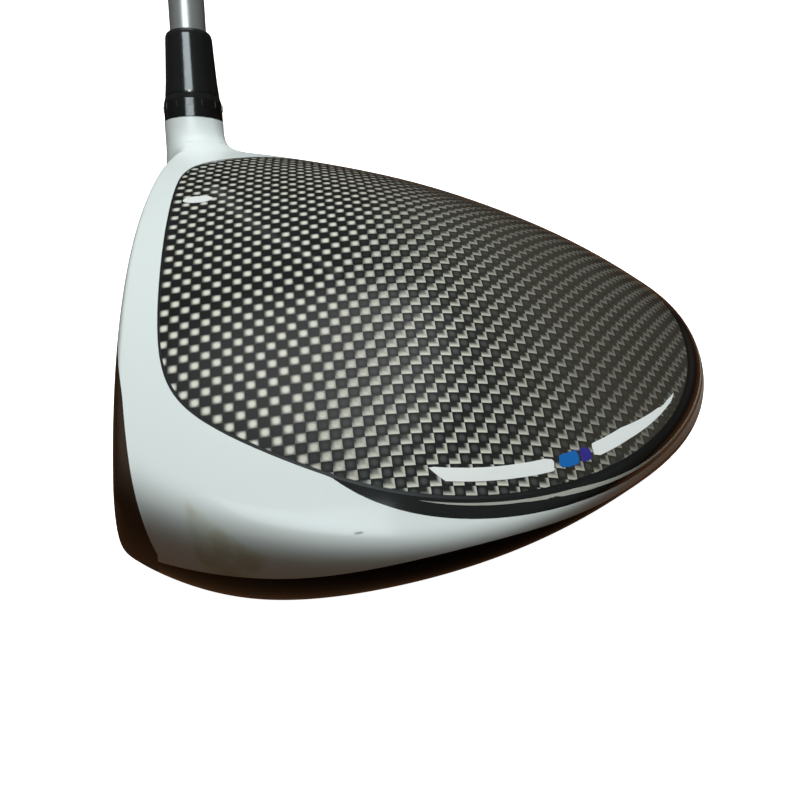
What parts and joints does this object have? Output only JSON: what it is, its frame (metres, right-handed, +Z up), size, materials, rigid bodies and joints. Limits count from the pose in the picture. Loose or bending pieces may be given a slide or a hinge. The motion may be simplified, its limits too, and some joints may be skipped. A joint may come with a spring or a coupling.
{
  "type": "golf driver",
  "caption": "Left-handed adjustable driver: hollow two-tone head with a woven carbon crown, bolted loft sleeve, rear weight, tapered shaft and rubber grip.",
  "frame": {"origin": "centre of the flat rest pad on the sole, on the ground", "axes": "+Z up, -Y the way the face looks, +X from heel to toe; the shaft rises toward -X"},
  "size_m": [0.7247, 0.1229, 0.9842],
  "materials": {
    "pearl_white": "gloss",
    "face_black": "satin",
    "carbon": "gloss clear coat over plain weave",
    "seam_black": "matte",
    "trim_black": "high gloss",
    "sole_black": "high gloss",
    "slot_rubber": "matte",
    "steel": "machined",
    "dark_steel": "machined",
    "sleeve_black": "gloss anodised",
    "ferrule_black": "high gloss",
    "epoxy": "cured",
    "shaft_silver": "satin metallic paint",
    "tape": "matte",
    "grip_rubber": "matte"
  },
  "bodies": {
    "club": {"loft_sleeve": "sleeve_black", "thread_insert": "steel", "tip_bond": "epoxy", "ferrule": "ferrule_black", "shaft": "shaft_silver", "grip_tape": "tape", "grip": "grip_rubber", "grip_cap": "grip_rubber"},
    "head": {"body_shell": "pearl_white", "face_plate": "face_black", "crown_panel": "carbon", "crown_seam": "seam_black", "rear_trim": "trim_black", "sole_shell": "sole_black", "sole_panel_toe": "trim_black", "sole_panel_heel": "trim_black", "sole_keel": "trim_black", "slot_insert": "slot_rubber", "hosel_tube": "pearl_white", "weight_cup": "dark_steel"},
    "washer": {"bolt_washer": "steel"},
    "bolt": {"hosel_bolt": "steel"},
    "weight": {"rear_weight": "steel"},
    "screw": {"weight_screw": "steel"}
  },
  "joints": [
    {"name": "head_release", "type": "slide", "parent": "club", "child": "head", "axis": [0.5363, -0.061, -0.8418], "range_m": [0, 0.045]},
    {"name": "bolt_travel", "type": "slide", "parent": "head", "child": "washer", "axis": [0.5363, -0.061, -0.8418], "range_m": [0, 0.0096]},
    {"name": "bolt_turn", "type": "hinge", "parent": "washer", "child": "bolt", "pos_m": [-0.03911, -0.02185, 0.01587], "axis": [0.5363, -0.061, -0.8418], "range_deg": [0, 4320]},
    {"name": "weight_travel", "type": "slide", "parent": "head", "child": "weight", "axis": [0, 0.515, -0.8572], "range_m": [0, 0.008]},
    {"name": "weight_turn", "type": "hinge", "parent": "weight", "child": "screw", "pos_m": [0, 0.06355, 0.00893], "axis": [0, 0.515, -0.8572], "range_deg": [0, 3600]}
  ],
  "couplings": [
    {"joint": "bolt_turn", "follows": "bolt_travel", "rad_per_m": 7854},
    {"joint": "weight_turn", "follows": "weight_travel", "rad_per_m": 7854}
  ]
}
